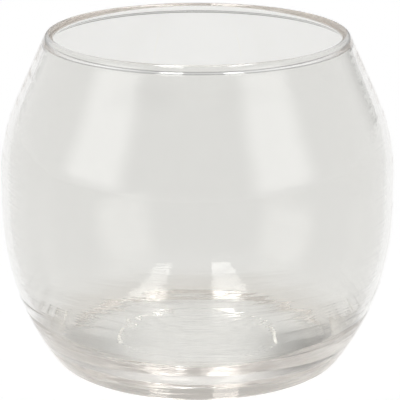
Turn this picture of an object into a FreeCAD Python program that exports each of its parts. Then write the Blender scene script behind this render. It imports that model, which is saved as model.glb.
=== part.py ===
# Rose bowl vase: one vessel of clear glass with a full belly, a conical neck, a
# fire-polished rim bead and a thick base with a shallow recess under it.
# Millimetres, +Z up. The origin is the centre of the ring that the vase rests on.
import FreeCAD, Part
import math
import os

# Outside of the body: heel arc, lower wall arc, upright belly band, shoulder arc, straight neck.
# The shoulder run is how far the shoulder's arc reaches along the belly and along the neck from
# the corner where they would meet.
belly_diameter = 100.0
overall_height = 84.5
lower_wall_height = 39.5
lower_wall_radius = 66.0
belly_band_height = 9.0
shoulder_run = 9.8
heel_radius = 3.3

# Rim bead, flush with the outside of the neck and proud of its inside
rim_circle_diameter = 74.6
bead_diameter = 2.3
bead_root_radius = 1.2

# Inside of the body: the wall is even down to the inner heel, and the floor is thick
neck_wall = 1.6
belly_wall = 1.8
inner_band_height = 9.0
inner_lower_radius = 64.0
inner_heel_radius = 18.0
floor_thickness = 4.5

# Recess in the underside, with turned rings from the mould's base plate in its roof
recess_radius = 20.5
recess_depth = 0.6
recess_edge_radius = 0.5
ring_height = 0.06
ring_count = 4


def on_circle(centre, radius, angle):
    """The point of a circle in the half plane at an angle from the outward direction."""
    return (centre[0] + radius * math.cos(angle), centre[1] + radius * math.sin(angle))


def angle_towards(centre, target):
    """The angle, from the outward direction, of the line from one point to another."""
    return math.atan2(target[1] - centre[1], target[0] - centre[0])


def tangent_angle(low_centre, low_radius, high_centre, high_radius):
    """The angle of the normal of the line that touches two circles on their outer sides."""
    distance = math.dist(low_centre, high_centre)
    return angle_towards(low_centre, high_centre) - math.acos((low_radius - high_radius) / distance)


def corner_centre(wall_centre, wall_radius, corner_radius, ground_height):
    """The centre of a corner arc that rests on a ground height and runs into a wall's arc."""
    height = ground_height + corner_radius
    reach = wall_radius - corner_radius
    return (wall_centre[0] + math.sqrt(reach**2 - (wall_centre[1] - height) ** 2), height)


class Outline:
    """A closed chain of edges in the XZ half plane, drawn from point to point."""

    def __init__(self, radius, height):
        self.start = (radius, height)
        self.end = self.start
        self.edges = []

    @staticmethod
    def place(spot):
        """The point in space of a radius and a height."""
        return FreeCAD.Vector(spot[0], 0, spot[1])

    def line_to(self, target):
        """Draws a straight edge to a point, unless the chain has come there already."""
        if math.dist(self.end, target) > Part.Precision.confusion():
            self.edges.append(Part.makeLine(self.place(self.end), self.place(target)))
            self.end = target

    def arc(self, centre, radius, first_angle, last_angle):
        """Draws a straight edge to the start of an arc, and then the arc."""
        self.line_to(on_circle(centre, radius, first_angle))
        middle = on_circle(centre, radius, (first_angle + last_angle) / 2)
        last = on_circle(centre, radius, last_angle)
        self.edges.append(Part.Arc(self.place(self.end), self.place(middle), self.place(last)).toShape())
        self.end = last

    def revolved(self):
        """Closes the chain and turns it round the Z axis into a solid."""
        self.line_to(self.start)
        face = Part.Face(Part.Wire(self.edges))
        return face.revolve(FreeCAD.Vector(0, 0, 0), FreeCAD.Vector(0, 0, 1), 360)


class Vase:
    """The vessel's half section, drawn from the axis out over the underside, up the outside,
    over the rim, and down the inside back to the axis."""

    def __init__(self):
        self.belly_radius = belly_diameter / 2
        self.shoulder_height = lower_wall_height + belly_band_height
        self.bead_radius = bead_diameter / 2
        self.bead_centre = (rim_circle_diameter / 2, overall_height - self.bead_radius)
        corner = (self.belly_radius, self.shoulder_height + shoulder_run)
        self.neck_angle = tangent_angle(corner, 0, self.bead_centre, self.bead_radius)
        self.shoulder_radius = shoulder_run / math.tan(self.neck_angle / 2)
        self.shoulder_centre = (self.belly_radius - self.shoulder_radius, self.shoulder_height)
        self.outline = Outline(0, recess_depth)

    def draw_underside(self):
        """The recess roof with its shallow rings, each one bulging down, and the recess edge."""
        roof_radius = recess_radius - recess_edge_radius
        pitch = roof_radius / ring_count
        ring_radius = (pitch**2 / 4 + ring_height**2) / (2 * ring_height)
        half_turn = math.asin(pitch / 2 / ring_radius)
        down = -math.pi / 2
        for ring in range(ring_count):
            centre = ((ring + 1 / 2) * pitch, recess_depth - ring_height + ring_radius)
            self.outline.arc(centre, ring_radius, down - half_turn, down + half_turn)
        edge_centre = (roof_radius, recess_depth - recess_edge_radius)
        self.outline.arc(edge_centre, recess_edge_radius, math.pi / 2, 0)
        self.outline.line_to((recess_radius, 0))

    def draw_outside(self):
        """The resting ring, the heel, the lower wall, the belly band, the shoulder and the neck."""
        wall_centre = (self.belly_radius - lower_wall_radius, lower_wall_height)
        heel_centre = corner_centre(wall_centre, lower_wall_radius, heel_radius, 0)
        heel_end = angle_towards(wall_centre, heel_centre)
        self.outline.arc(heel_centre, heel_radius, -math.pi / 2, heel_end)
        self.outline.arc(wall_centre, lower_wall_radius, heel_end, 0)
        self.outline.arc(self.shoulder_centre, self.shoulder_radius, 0, self.neck_angle)

    def draw_rim(self, inner_angle):
        """The bead over the rim, and the hollow corner that runs it into the inside of the neck."""
        past_bead = neck_wall + bead_root_radius - self.bead_radius
        below_bead = math.sqrt((self.bead_radius + bead_root_radius) ** 2 - past_bead**2)
        root_centre = (
            self.bead_centre[0] - past_bead * math.cos(inner_angle) + below_bead * math.sin(inner_angle),
            self.bead_centre[1] - past_bead * math.sin(inner_angle) - below_bead * math.cos(inner_angle),
        )
        bead_end = angle_towards(root_centre, self.bead_centre) + math.pi
        self.outline.arc(self.bead_centre, self.bead_radius, self.neck_angle, bead_end)
        self.outline.arc(root_centre, bead_root_radius, bead_end - math.pi, inner_angle)

    def draw_inside(self, inner_angle):
        """The neck, the shoulder, the belly band, the lower wall, the inner heel and the floor."""
        inner_shoulder_radius = self.shoulder_radius - belly_wall
        self.outline.arc(self.shoulder_centre, inner_shoulder_radius, inner_angle, 0)
        wall_centre = (
            self.belly_radius - belly_wall - inner_lower_radius,
            self.shoulder_height - inner_band_height,
        )
        heel_centre = corner_centre(wall_centre, inner_lower_radius, inner_heel_radius, floor_thickness)
        heel_start = angle_towards(wall_centre, heel_centre)
        self.outline.arc(wall_centre, inner_lower_radius, 0, heel_start)
        self.outline.arc(heel_centre, inner_heel_radius, heel_start, -math.pi / 2)
        self.outline.line_to((0, floor_thickness))

    def solid(self):
        """The whole vessel as one solid of revolution."""
        self.draw_underside()
        self.draw_outside()
        inner_angle = tangent_angle(
            self.shoulder_centre,
            self.shoulder_radius - belly_wall,
            self.bead_centre,
            self.bead_radius - neck_wall,
        )
        self.draw_rim(inner_angle)
        self.draw_inside(inner_angle)
        return self.outline.revolved()


def main():
    """Writes the vase, which is a single piece of glass."""
    glass_bowl = Vase().solid()
    os.makedirs("parts", exist_ok=True)
    glass_bowl.exportStep("parts/glass_bowl.step")
    print(f"glass_bowl: valid {glass_bowl.isValid()}, {glass_bowl.Volume / 1000:.1f} cm3")


main()
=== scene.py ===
"""Dresses the rose bowl vase: one vessel of clear glass on a white table, in metres, +Z up.

The glass is spun from a half section of tangent arcs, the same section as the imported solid's,
with the fine waves that a blown wall has. The studio has a white table, a soft sky with two
pale walls on the camera's side, and two long softboxes that run overhead to beyond the vase.
"""

import logging
import math
from dataclasses import dataclass, field
from enum import Enum

import bmesh
import bpy
from mathutils import Matrix, Vector, noise


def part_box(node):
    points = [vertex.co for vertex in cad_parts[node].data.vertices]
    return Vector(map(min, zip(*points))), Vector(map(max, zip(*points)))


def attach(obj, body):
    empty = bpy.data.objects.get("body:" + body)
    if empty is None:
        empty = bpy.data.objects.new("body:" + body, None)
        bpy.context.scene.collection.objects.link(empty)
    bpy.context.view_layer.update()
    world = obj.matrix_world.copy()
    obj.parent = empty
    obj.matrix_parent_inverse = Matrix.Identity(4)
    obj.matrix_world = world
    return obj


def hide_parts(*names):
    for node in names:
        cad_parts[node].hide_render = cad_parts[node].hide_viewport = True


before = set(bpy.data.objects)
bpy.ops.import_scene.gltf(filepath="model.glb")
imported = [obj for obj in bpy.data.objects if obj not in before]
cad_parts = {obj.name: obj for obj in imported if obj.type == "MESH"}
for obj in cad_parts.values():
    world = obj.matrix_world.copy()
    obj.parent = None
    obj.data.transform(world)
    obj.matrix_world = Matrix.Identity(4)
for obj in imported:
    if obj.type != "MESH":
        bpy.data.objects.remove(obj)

Spot = tuple[float, float]
Triple = tuple[float, float, float]
Feed = float | bpy.types.NodeSocket

LOG = logging.getLogger("rose_bowl")
MM = 0.001
DOWN = -math.pi / 2
RISING: Spot = (0.0, 1.0)
FALLING: Spot = (1.0, 0.0)


def on_circle(centre: Spot, radius: float, angle: float) -> Spot:
    """Gives the point of a circle in the half plane.

    Args:
        centre: radius and height of the circle's centre.
        radius: the circle's radius.
        angle: the angle from the outward direction, towards up.

    Returns:
        The radius and height of the point.
    """
    return centre[0] + radius * math.cos(angle), centre[1] + radius * math.sin(angle)


def angle_towards(centre: Spot, target: Spot) -> float:
    """Gives the angle, from the outward direction, of the line between two points.

    Args:
        centre: where the line starts.
        target: where the line ends.

    Returns:
        The angle in radians.
    """
    return math.atan2(target[1] - centre[1], target[0] - centre[0])


def tangent_angle(low: Spot, low_radius: float, high: Spot, high_radius: float) -> float:
    """Gives the normal's angle of the line that touches two circles on their outer sides.

    Args:
        low: the lower circle's centre.
        low_radius: the lower circle's radius.
        high: the upper circle's centre.
        high_radius: the upper circle's radius.

    Returns:
        The angle in radians.
    """
    return angle_towards(low, high) - math.acos((low_radius - high_radius) / math.dist(low, high))


def corner_centre(wall: Spot, wall_radius: float, corner_radius: float, ground: float) -> Spot:
    """Gives the centre of a corner arc that rests on the ground and runs into a wall's arc.

    Args:
        wall: the wall arc's centre.
        wall_radius: the wall arc's radius.
        corner_radius: the corner arc's radius.
        ground: the height that the corner rests on.

    Returns:
        The corner centre's radius and height.
    """
    height = ground + corner_radius
    reach = wall_radius - corner_radius
    return wall[0] + math.sqrt(reach**2 - (wall[1] - height) ** 2), height


@dataclass
class HalfSection:
    """A chain of short edges in the XZ half plane, which operators draw and then spin.

    The pitch is the longest edge that an arc or a line is divided into. A run shorter than the
    nearness share of it isn't drawn, and points within the closing share of it are merged.
    """

    start: Spot
    pitch: float
    nearness_share: float = 0.0001
    closing_share: float = 0.001
    least_arc_steps: int = 2

    def __post_init__(self) -> None:
        """Starts the chain with its first point."""
        self.mesh: bmesh.types.BMesh = bmesh.new()
        self.last: bmesh.types.BMVert = self.mesh.verts.new((self.start[0], 0.0, self.start[1]))

    @property
    def end(self) -> Spot:
        """The radius and height that the chain has come to."""
        return self.last.co.x, self.last.co.z

    def line_to(self, target: Spot) -> None:
        """Draws a straight run of edges, unless the chain has come there already.

        Args:
            target: radius and height of the run's end.
        """
        length = math.dist(self.end, target)
        if length < self.pitch * self.nearness_share:
            return
        steps = math.ceil(length / self.pitch)
        step = Vector((target[0] - self.end[0], 0.0, target[1] - self.end[1])) / steps
        made = bmesh.ops.spin(
            self.mesh, geom=[self.last], cent=(0.0, 0.0, 0.0), axis=(0.0, 0.0, 1.0),
            dvec=step, angle=0.0, steps=steps, use_duplicate=False,
        )
        self.last = made["geom_last"][0]

    def arc(self, centre: Spot, radius: float, first: float, last: float) -> None:
        """Draws a straight run to the start of an arc, and then the arc.

        Args:
            centre: radius and height of the arc's centre.
            radius: the arc's radius.
            first: the angle at which the arc starts.
            last: the angle at which it ends.
        """
        self.line_to(on_circle(centre, radius, first))
        length = radius * abs(last - first)
        steps = max(self.least_arc_steps, math.ceil(length / self.pitch))
        made = bmesh.ops.spin(
            self.mesh, geom=[self.last], cent=(centre[0], 0.0, centre[1]), axis=(0.0, -1.0, 0.0),
            angle=last - first, steps=steps, use_duplicate=False,
        )
        self.last = made["geom_last"][0]

    def spun(self, segments: int) -> bmesh.types.BMesh:
        """Turns the chain round the Z axis into a closed shell.

        Args:
            segments: how many steps the turn has.

        Returns:
            The mesh, with its poles closed and its faces pointing out of the glass.
        """
        mesh = self.mesh
        closed = self.pitch * self.closing_share
        bmesh.ops.spin(
            mesh, geom=mesh.verts[:] + mesh.edges[:], cent=(0.0, 0.0, 0.0), axis=(0.0, 0.0, 1.0),
            angle=math.tau, steps=segments, use_merge=True, use_duplicate=False,
        )
        bmesh.ops.remove_doubles(mesh, verts=mesh.verts[:], dist=closed)
        bmesh.ops.dissolve_degenerate(mesh, edges=mesh.edges[:], dist=closed)
        bmesh.ops.recalc_face_normals(mesh, faces=mesh.faces[:])
        return mesh


class OnNumbers(Enum):
    """What a node does with numbers."""

    TIMES = "MULTIPLY"
    LARGER = "MAXIMUM"
    SIZE = "ABSOLUTE"


class OnVector(Enum):
    """What a node does with a vector, and the output that holds the result."""

    TIMES = ("MULTIPLY", "Vector")
    TO_UNIT = ("NORMALIZE", "Vector")
    ALONG = ("DOT_PRODUCT", "Value")
    LENGTH = ("LENGTH", "Value")


class Seen(Enum):
    """The kinds of ray that see a stage surface as bright as the background."""

    CAMERA = "Is Camera Ray"
    MIRROR = "Is Glossy Ray"
    GLASS = "Is Transmission Ray"


@dataclass(frozen=True)
class NodeBench:
    """A node tree, with short ways to add the nodes that finishes and skies are made of."""

    tree: bpy.types.NodeTree

    def fed(self, socket: bpy.types.NodeSocket, source: Feed) -> None:
        """Gives an input its number or its link.

        Args:
            socket: the input.
            source: a number, or the socket to link from.
        """
        if isinstance(source, float):
            socket.default_value = source
        else:
            self.tree.links.new(source, socket)

    def place(self, output: str) -> bpy.types.NodeSocket:
        """Adds a node for the place on the surface or in the sky.

        Args:
            output: the kind of coordinates.

        Returns:
            The place's socket.
        """
        return self.tree.nodes.new("ShaderNodeTexCoord").outputs[output]

    def split(self, place: bpy.types.NodeSocket) -> bpy.types.NodeOutputs:
        """Adds a node that splits a place.

        Args:
            place: the place's socket.

        Returns:
            The outputs X, Y and Z.
        """
        node = self.tree.nodes.new("ShaderNodeSeparateXYZ")
        self.tree.links.new(place, node.inputs[0])
        return node.outputs

    def numbers(self, kind: OnNumbers, *sources: Feed) -> bpy.types.NodeSocket:
        """Adds a node that works on numbers.

        Args:
            kind: what the node does.
            sources: the numbers or sockets that it works on.

        Returns:
            The result's socket.
        """
        node = self.tree.nodes.new("ShaderNodeMath")
        node.operation = kind.value
        for socket, source in zip(node.inputs, sources):
            self.fed(socket, source)
        return node.outputs["Value"]

    def vector(
        self, kind: OnVector, source: bpy.types.NodeSocket, other: Triple | None = None
    ) -> bpy.types.NodeSocket:
        """Adds a node that works on a vector.

        Args:
            kind: what the node does.
            source: the vector's socket.
            other: the second vector, where there is one.

        Returns:
            The result's socket.
        """
        operation, output = kind.value
        node = self.tree.nodes.new("ShaderNodeVectorMath")
        node.operation = operation
        self.tree.links.new(source, node.inputs[0])
        if other is not None:
            node.inputs[1].default_value = other
        return node.outputs[output]

    def flattened(self, place: bpy.types.NodeSocket) -> bpy.types.NodeSocket:
        """Adds a node that drops a place to height 0.

        Args:
            place: the place's socket.

        Returns:
            The flat place's socket.
        """
        return self.vector(OnVector.TIMES, place, (1.0, 1.0, 0.0))

    def mixed(self, low: Feed, high: Feed, share: Feed) -> bpy.types.NodeSocket:
        """Adds a node that goes from one value to another.

        Args:
            low: the value where the share is 0.
            high: the value where the share is 1.
            share: the share.

        Returns:
            The mixed value's socket.
        """
        node = self.tree.nodes.new("ShaderNodeMix")
        self.fed(node.inputs["A"], low)
        self.fed(node.inputs["B"], high)
        self.fed(node.inputs["Factor"], share)
        return node.outputs["Result"]

    def eased(self, value: Feed, span: Spot, levels: Spot) -> bpy.types.NodeSocket:
        """Adds a node that eases from one level to another while a value crosses a span.

        Args:
            value: the value that crosses the span.
            span: where the easing starts and ends.
            levels: the levels before and after it.

        Returns:
            The eased level's socket.
        """
        node = self.tree.nodes.new("ShaderNodeMapRange")
        node.interpolation_type = "SMOOTHSTEP"
        self.fed(node.inputs["Value"], value)
        node.inputs["From Min"].default_value, node.inputs["From Max"].default_value = span
        node.inputs["To Min"].default_value, node.inputs["To Max"].default_value = levels
        return node.outputs["Result"]

    def seen_by(self, *kinds: Seen) -> bpy.types.NodeSocket:
        """Adds nodes that tell rays which show a surface from rays that are lit by it.

        Args:
            kinds: the kinds of ray that count.

        Returns:
            A socket that is 1 for those rays, and otherwise 0.
        """
        path = self.tree.nodes.new("ShaderNodeLightPath")
        total = path.outputs[kinds[0].value]
        for kind in kinds[1:]:
            total = self.numbers(OnNumbers.LARGER, total, path.outputs[kind.value])
        return total


@dataclass(frozen=True)
class ClearGlass:
    """Fire-polished clear glass: a grey cast at the skin, and a warm one that deepens with depth.

    The skin is darker at the heel, which is painted shade in the thick base. It has the
    fine level streaks that are left when a hot wall is drawn in the mould, deepest low down,
    where the wall thickens.
    """

    skin: Triple = (0.848, 0.846, 0.830)
    # Painted shade: a darker skin tint low down and far out at the heel.
    heel_painted_shade: Triple = (0.73, 0.71, 0.675)
    painted_shade_height: Spot = (1.0 * MM, 9.5 * MM)
    painted_shade_reach: Spot = (24.0 * MM, 34.0 * MM)
    depth: Triple = (0.58, 0.51, 0.44)
    depth_per_metre: float = 6.5
    index: float = 1.52
    streak_squash: Triple = (18.0, 18.0, 420.0)
    streak_rise: float = 0.05 * MM
    streak_detail: float = 2.0
    streak_height: Spot = (12.0 * MM, 30.0 * MM)
    streak_shares: Spot = (5.5, 1.0)

    def streak_normal(self, bench: NodeBench, place: bpy.types.NodeSocket) -> bpy.types.NodeSocket:
        """Adds nodes for the fine level streaks.

        Args:
            bench: the finish's node tree.
            place: the place on the glass.

        Returns:
            The streaked surface's normal.
        """
        streaks = bench.tree.nodes.new("ShaderNodeTexNoise")
        streaks.inputs["Scale"].default_value = 1.0
        streaks.inputs["Detail"].default_value = self.streak_detail
        squashed = bench.vector(OnVector.TIMES, place, self.streak_squash)
        bench.fed(streaks.inputs["Vector"], squashed)
        share = bench.eased(bench.split(place)["Z"], self.streak_height, self.streak_shares)
        relief = bench.tree.nodes.new("ShaderNodeBump")
        relief.inputs["Strength"].default_value = 1.0
        relief.inputs["Distance"].default_value = self.streak_rise
        deepened = bench.numbers(OnNumbers.TIMES, streaks.outputs["Fac"], share)
        bench.fed(relief.inputs["Height"], deepened)
        return relief.outputs["Normal"]

    def skin_tint_and_painted_shade(self, bench: NodeBench, place: bpy.types.NodeSocket) -> bpy.types.NodeSocket:
        """Adds nodes for the skin's tint, with painted shade that darkens it low down and far out.

        Args:
            bench: the finish's node tree.
            place: the place on the glass.

        Returns:
            The tint's socket.
        """
        radius = bench.vector(OnVector.LENGTH, bench.flattened(place))
        low = bench.eased(bench.split(place)["Z"], self.painted_shade_height, FALLING)
        wide = bench.eased(radius, self.painted_shade_reach, RISING)
        tint_and_shade = bench.tree.nodes.new("ShaderNodeValToRGB")
        for stop, tint in zip(tint_and_shade.color_ramp.elements, (self.skin, self.heel_painted_shade)):
            stop.color = (*tint, 1.0)
        # Painted shade: the skin goes to the darker tint in the heel's low, outer glass.
        bench.fed(tint_and_shade.inputs["Fac"], bench.mixed(0.0, low, wide))
        return tint_and_shade.outputs["Color"]

    def material(self) -> bpy.types.Material:
        """Makes the finish.

        Returns:
            The material.
        """
        material = bpy.data.materials.new("clear_glass")
        material.use_nodes = True
        bench = NodeBench(material.node_tree)
        nodes = bench.tree.nodes
        shader = nodes["Principled BSDF"]
        shader.inputs["Roughness"].default_value = 0.0
        shader.inputs["IOR"].default_value = self.index
        shader.inputs["Transmission Weight"].default_value = 1.0
        body = nodes.new("ShaderNodeVolumeAbsorption")
        body.inputs["Color"].default_value = (*self.depth, 1.0)
        body.inputs["Density"].default_value = self.depth_per_metre
        bench.fed(nodes["Material Output"].inputs["Volume"], body.outputs["Volume"])
        place = bench.place("Object")
        bench.fed(shader.inputs["Base Color"], self.skin_tint_and_painted_shade(bench, place))
        bench.fed(shader.inputs["Normal"], self.streak_normal(bench, place))
        return material


@dataclass
class GlassBowl:
    """The vase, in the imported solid's sizes.

    The half section is drawn from the axis out over the underside, up the outside, over the rim,
    and down the inside back to the axis.
    """

    belly_radius: float
    height: float
    lower_wall_height: float = 39.5 * MM
    lower_wall_radius: float = 66.0 * MM
    belly_band_height: float = 9.0 * MM
    shoulder_run: float = 9.8 * MM
    heel_radius: float = 3.3 * MM
    rim_circle_radius: float = 37.3 * MM
    bead_radius: float = 1.15 * MM
    bead_root_radius: float = 1.2 * MM
    neck_wall: float = 1.6 * MM
    belly_wall: float = 1.8 * MM
    inner_band_height: float = 9.0 * MM
    inner_lower_radius: float = 64.0 * MM
    inner_heel_radius: float = 18.0 * MM
    floor_thickness: float = 4.5 * MM
    recess_radius: float = 20.5 * MM
    recess_depth: float = 0.6 * MM
    recess_edge_radius: float = 0.5 * MM
    ring_height: float = 0.06 * MM
    ring_count: int = 4
    wave_rise: float = 0.08 * MM
    wave_squash: Triple = (45.0, 45.0, 420.0)
    wave_fade: Spot = (20.0 * MM, 42.0 * MM)
    wave_share_above: float = 0.05
    wave_free_rim: float = 4.0 * MM
    pitch: float = 0.6 * MM
    segments: int = 160
    glass: ClearGlass = field(default_factory=ClearGlass)

    def __post_init__(self) -> None:
        """Works out the places that more than one stretch of the section takes."""
        self.section = HalfSection((0.0, self.recess_depth), self.pitch)
        self.shoulder_height = self.lower_wall_height + self.belly_band_height
        self.bead: Spot = (self.rim_circle_radius, self.height - self.bead_radius)
        corner = (self.belly_radius, self.shoulder_height + self.shoulder_run)
        self.neck = tangent_angle(corner, 0.0, self.bead, self.bead_radius)
        self.shoulder_radius = self.shoulder_run / math.tan(self.neck / 2)
        self.shoulder: Spot = (self.belly_radius - self.shoulder_radius, self.shoulder_height)
        self.inner_shoulder_radius = self.shoulder_radius - self.belly_wall
        self.inner_neck = tangent_angle(
            self.shoulder, self.inner_shoulder_radius, self.bead, self.bead_radius - self.neck_wall
        )

    def draw_underside(self) -> None:
        """Draws the recess roof with its shallow rings, each one bulging down, and its edge."""
        roof = self.recess_radius - self.recess_edge_radius
        ring_pitch = roof / self.ring_count
        ring_radius = (ring_pitch**2 / 4 + self.ring_height**2) / (2 * self.ring_height)
        half_turn = math.asin(ring_pitch / 2 / ring_radius)
        for ring in range(self.ring_count):
            centre = ((ring + 1 / 2) * ring_pitch, self.recess_depth - self.ring_height + ring_radius)
            self.section.arc(centre, ring_radius, DOWN - half_turn, DOWN + half_turn)
        edge = (roof, self.recess_depth - self.recess_edge_radius)
        self.section.arc(edge, self.recess_edge_radius, math.pi / 2, 0.0)
        self.section.line_to((self.recess_radius, 0.0))

    def draw_outside(self) -> None:
        """Draws the resting ring, the heel, the lower wall, the belly band and the shoulder."""
        wall = (self.belly_radius - self.lower_wall_radius, self.lower_wall_height)
        heel = corner_centre(wall, self.lower_wall_radius, self.heel_radius, 0.0)
        heel_end = angle_towards(wall, heel)
        self.section.arc(heel, self.heel_radius, DOWN, heel_end)
        self.section.arc(wall, self.lower_wall_radius, heel_end, 0.0)
        self.section.arc(self.shoulder, self.shoulder_radius, 0.0, self.neck)

    def draw_rim(self) -> None:
        """Draws the neck, the bead, and the hollow corner that runs it into the inside."""
        past_bead = self.neck_wall + self.bead_root_radius - self.bead_radius
        below_bead = math.sqrt((self.bead_radius + self.bead_root_radius) ** 2 - past_bead**2)
        along, up = math.cos(self.inner_neck), math.sin(self.inner_neck)
        root = (
            self.bead[0] - past_bead * along + below_bead * up,
            self.bead[1] - past_bead * up - below_bead * along,
        )
        bead_end = angle_towards(root, self.bead) + math.pi
        self.section.arc(self.bead, self.bead_radius, self.neck, bead_end)
        self.section.arc(root, self.bead_root_radius, bead_end - math.pi, self.inner_neck)

    def draw_inside(self) -> None:
        """Draws the inside of the neck, shoulder, belly and lower wall, its heel and the floor."""
        self.section.arc(self.shoulder, self.inner_shoulder_radius, self.inner_neck, 0.0)
        wall = (
            self.belly_radius - self.belly_wall - self.inner_lower_radius,
            self.shoulder_height - self.inner_band_height,
        )
        heel = corner_centre(
            wall, self.inner_lower_radius, self.inner_heel_radius, self.floor_thickness
        )
        heel_start = angle_towards(wall, heel)
        self.section.arc(wall, self.inner_lower_radius, 0.0, heel_start)
        self.section.arc(heel, self.inner_heel_radius, heel_start, DOWN)
        self.section.line_to((0.0, self.floor_thickness))

    def wave(self, shell: bmesh.types.BMesh) -> None:
        """Gives the inside the level waves of a blown wall, strongest low down.

        Args:
            shell: the shell of glass, whose inside is moved in and out.
        """
        shell.normal_update()
        start, stop = self.wave_fade
        top = self.height - self.wave_free_rim
        for vert in shell.verts:
            inward = vert.normal.x * vert.co.x + vert.normal.y * vert.co.y < 0.0
            if not inward or not self.floor_thickness <= vert.co.z <= top:
                continue
            passed = min(1.0, max(0.0, (vert.co.z - start) / (stop - start)))
            share = 1.0 + (self.wave_share_above - 1.0) * passed
            height = noise.noise(Vector(a * b for a, b in zip(vert.co, self.wave_squash)))
            vert.co += vert.normal * (height * share * self.wave_rise)

    def build(self) -> bpy.types.Object:
        """Makes the piece in its place.

        Returns:
            The glass object.
        """
        self.draw_underside()
        self.draw_outside()
        self.draw_rim()
        self.draw_inside()
        shell = self.section.spun(self.segments)
        self.wave(shell)
        data = bpy.data.meshes.new("glass_bowl_blown")
        shell.to_mesh(data)
        shell.free()
        data.shade_smooth()
        piece = bpy.data.objects.new("glass_bowl_blown", data)
        bpy.context.scene.collection.objects.link(piece)
        data.materials.append(self.glass.material())
        return piece


@dataclass(frozen=True)
class PhotoCamera:
    """The camera at the photograph's angle, aimed at the middle of the vase."""

    distance: float = 0.515
    elevation: float = math.radians(16.6)
    focal_pixels: float = 2008.0
    frame_pixels: float = 400.0
    aim_pixel: Spot = (197.5, 193.5)
    sensor: float = 36.0

    def build(self, aim: Vector) -> bpy.types.Object:
        """Makes the camera.

        Args:
            aim: the point that the photograph shows at the aim pixel.

        Returns:
            The camera object.
        """
        data = bpy.data.cameras.new("photo_camera")
        data.sensor_width = self.sensor
        data.lens = self.focal_pixels / self.frame_pixels * self.sensor
        data.shift_x = 1 / 2 - self.aim_pixel[0] / self.frame_pixels
        data.shift_y = self.aim_pixel[1] / self.frame_pixels - 1 / 2
        camera = bpy.data.objects.new("photo_camera", data)
        bpy.context.scene.collection.objects.link(camera)
        back = Vector((0.0, -math.cos(self.elevation), math.sin(self.elevation)))
        camera.location = aim + back * self.distance
        camera.rotation_euler = (math.pi / 2 - self.elevation, 0.0, 0.0)
        bpy.context.scene.camera = camera
        return camera


@dataclass(frozen=True)
class Softbox:
    """A long flat panel of light that faces the vase."""

    name: str
    near_end: Triple
    far_end: Triple
    width: float
    radiance: float

    def build(self, aim: Vector) -> bpy.types.Object:
        """Makes the lamp.

        Args:
            aim: the point that the panel faces.

        Returns:
            The lamp object.
        """
        near, far = Vector(self.near_end), Vector(self.far_end)
        run, middle = far - near, (near + far) / 2
        data = bpy.data.lights.new(self.name, "AREA")
        data.shape = "RECTANGLE"
        data.size = self.width
        data.size_y = run.length
        data.energy = self.radiance * math.pi * self.width * run.length
        lamp = bpy.data.objects.new(self.name, data)
        bpy.context.scene.collection.objects.link(lamp)
        along = run.normalized()
        across = along.cross(middle - aim).normalized()
        turn = Matrix((across, along, across.cross(along))).transposed()
        lamp.matrix_world = Matrix.LocRotScale(middle, turn.to_quaternion(), None)
        lamp.visible_camera = lamp.visible_diffuse = False
        return lamp


@dataclass(frozen=True)
class WhiteTable:
    """The white table, which glows as bright as the background for the rays that show it.

    Close to the vase's front sides it glows less, for rays that come through the glass alone:
    the photograph is cut out on white, but the shade still shows in the thick base.
    """

    size: float = 8.0
    gap: float = 0.05 * MM
    white: float = 0.7
    roughness: float = 0.9
    glow: float = 0.72
    shade_glows: Spot = (0.38, 0.10)
    shade_aside: Spot = (9.0 * MM, 28.0 * MM)
    shade_front: Spot = (-5.0 * MM, 10.0 * MM)
    shade_reach: Spot = (47.0 * MM, 80.0 * MM)

    def shaded_glow(self, bench: NodeBench) -> bpy.types.NodeSocket:
        """Adds nodes for the glow, with the shade at the vase's front sides.

        Args:
            bench: the table's node tree.

        Returns:
            The glow's socket.
        """
        place = bench.place("Object")
        split = bench.split(place)
        shade = bench.seen_by(Seen.GLASS)
        for value, span, levels in (
            (bench.numbers(OnNumbers.SIZE, split["X"]), self.shade_aside, RISING),
            (split["Y"], self.shade_front, FALLING),
            (bench.vector(OnVector.LENGTH, place), self.shade_reach, FALLING),
        ):
            shade = bench.mixed(0.0, shade, bench.eased(value, span, levels))
        sides = (-self.shade_aside[1], self.shade_aside[1])
        return bench.mixed(self.glow, bench.eased(split["X"], sides, self.shade_glows), shade)

    def material(self) -> bpy.types.Material:
        """Makes the table's finish.

        Returns:
            The material.
        """
        material = bpy.data.materials.new("white_table")
        material.use_nodes = True
        bench = NodeBench(material.node_tree)
        shader = bench.tree.nodes["Principled BSDF"]
        shader.inputs["Base Color"].default_value = (self.white, self.white, self.white, 1.0)
        shader.inputs["Roughness"].default_value = self.roughness
        shader.inputs["Specular IOR Level"].default_value = 0.0
        shader.inputs["Emission Color"].default_value = (1.0, 1.0, 1.0, 1.0)
        glow = bench.mixed(0.0, self.shaded_glow(bench), bench.seen_by(*Seen))
        bench.fed(shader.inputs["Emission Strength"], glow)
        return material

    def build(self) -> bpy.types.Object:
        """Makes the table, a hair under the vase.

        Returns:
            The table object.
        """
        mesh = bmesh.new()
        bmesh.ops.create_grid(mesh, x_segments=1, y_segments=1, size=self.size / 2)
        bmesh.ops.translate(mesh, vec=(0.0, 0.0, -self.gap), verts=mesh.verts[:])
        data = bpy.data.meshes.new("white_table")
        mesh.to_mesh(data)
        mesh.free()
        table = bpy.data.objects.new("white_table", data)
        bpy.context.scene.collection.objects.link(table)
        data.materials.append(self.material())
        return table


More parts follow.
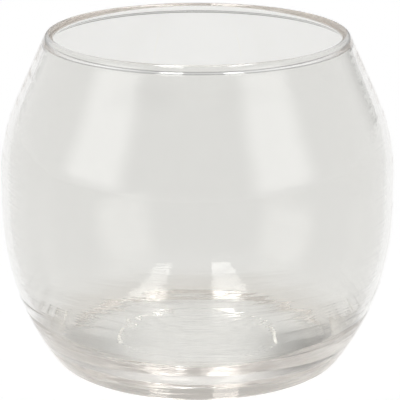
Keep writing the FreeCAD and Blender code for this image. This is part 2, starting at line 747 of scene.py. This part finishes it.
@dataclass(frozen=True)
class StudioSky:
    """The sky: even for what it lights, and graded for what glass mirrors or bends.

    A heading is the cosine of its angle from the far side, and a rise is the sine of a height
    angle. Each entry of the walls is a heading and the radiance there.
    """

    even: float = 0.4
    zenith: float = 1.25
    zenith_rise: Spot = (0.50, 0.80)
    back_levels: Spot = (0.35, 0.72)
    back_rise: Spot = (0.08, 0.25)
    back_heading: Spot = (0.6, 0.92)
    walls: tuple[Spot, ...] = ((-0.86, 0.9), (-0.68, 2.5), (-0.40, 2.5), (-0.10, 1.0))
    wall_foot: float = 1.1
    wall_rise: Spot = (-0.02, 0.10)
    turned: float = math.radians(6.0)

    def walls_round(self, bench: NodeBench, heading: bpy.types.NodeSocket) -> Feed:
        """Adds nodes for the walls' radiance from heading to heading.

        Args:
            bench: the sky's node tree.
            heading: the heading's socket.

        Returns:
            The radiance.
        """
        level: Feed = self.walls[0][1]
        for (before, _), (after, radiance) in zip(self.walls, self.walls[1:]):
            level = bench.mixed(level, radiance, bench.eased(heading, (before, after), RISING))
        return level

    def graded(self, bench: NodeBench) -> bpy.types.NodeSocket:
        """Adds nodes for the graded sky that shows in the glass.

        Args:
            bench: the sky's node tree.

        Returns:
            The radiance's socket.
        """
        place = bench.place("Generated")
        rise = bench.split(place)["Z"]
        far_side = (math.sin(self.turned), math.cos(self.turned), 0.0)
        level_heading = bench.vector(OnVector.TO_UNIT, bench.flattened(place))
        heading = bench.vector(OnVector.ALONG, level_heading, far_side)
        above_foot = bench.eased(rise, self.wall_rise, RISING)
        level = bench.mixed(self.wall_foot, self.walls_round(bench, heading), above_foot)
        back = bench.eased(rise, self.back_rise, self.back_levels)
        level = bench.mixed(level, back, bench.eased(heading, self.back_heading, RISING))
        return bench.mixed(level, self.zenith, bench.eased(rise, self.zenith_rise, RISING))

    def build(self) -> bpy.types.World:
        """Makes the sky.

        Returns:
            The world.
        """
        world = bpy.data.worlds.new("studio_sky")
        world.use_nodes = True
        bench = NodeBench(world.node_tree)
        background = bench.tree.nodes["Background"]
        background.inputs["Color"].default_value = (1.0, 1.0, 1.0, 1.0)
        shown = bench.seen_by(Seen.MIRROR, Seen.GLASS)
        strength = bench.mixed(self.even, self.graded(bench), shown)
        bench.fed(background.inputs["Strength"], strength)
        bpy.context.scene.world = world
        return world


@dataclass(frozen=True)
class Studio:
    """White table, soft sky and softboxes: bright behind the vase, dim on the camera's side.

    Light that is guided in the thick base and the rim needs many bounces to come out again.
    """

    table: WhiteTable = WhiteTable()
    sky: StudioSky = StudioSky()
    softboxes: tuple[Softbox, ...] = (
        Softbox("right_strip", (0.285, -0.26, 1.0), (0.19, 2.9, 2.14), 0.15, 5.0),
        Softbox("left_strip", (-0.227, -0.45, 1.0), (-0.14, 1.9, 2.0), 0.20, 5.0),
    )
    glass_bounces: int = 200

    def build(self, aim: Vector) -> None:
        """Makes the whole studio.

        Args:
            aim: the point that the softboxes face.
        """
        self.table.build()
        self.sky.build()
        for softbox in self.softboxes:
            softbox.build(aim)
        light_paths = bpy.context.scene.cycles
        light_paths.max_bounces = self.glass_bounces
        light_paths.transmission_bounces = self.glass_bounces
        light_paths.glossy_bounces = self.glass_bounces


def main() -> None:
    """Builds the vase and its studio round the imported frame."""
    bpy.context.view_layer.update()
    low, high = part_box("glass_bowl")
    bowl = GlassBowl(belly_radius=min(-low.x, high.x, -low.y, high.y), height=high.z)
    piece = bowl.build()
    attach(piece, "root")
    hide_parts("glass_bowl")
    LOG.info("%s has %d faces", piece.name, len(piece.data.polygons))

    middle = Vector((0.0, 0.0, bowl.height / 2))
    camera = PhotoCamera().build(middle)
    LOG.info("%s looks at the vase through a %.1f mm lens", camera.name, camera.data.lens)
    Studio().build(middle)
    bpy.context.scene.view_settings.view_transform = "Standard"


if __name__ == "__main__":
    logging.basicConfig(level=logging.INFO, format="%(name)s: %(message)s")
    main()
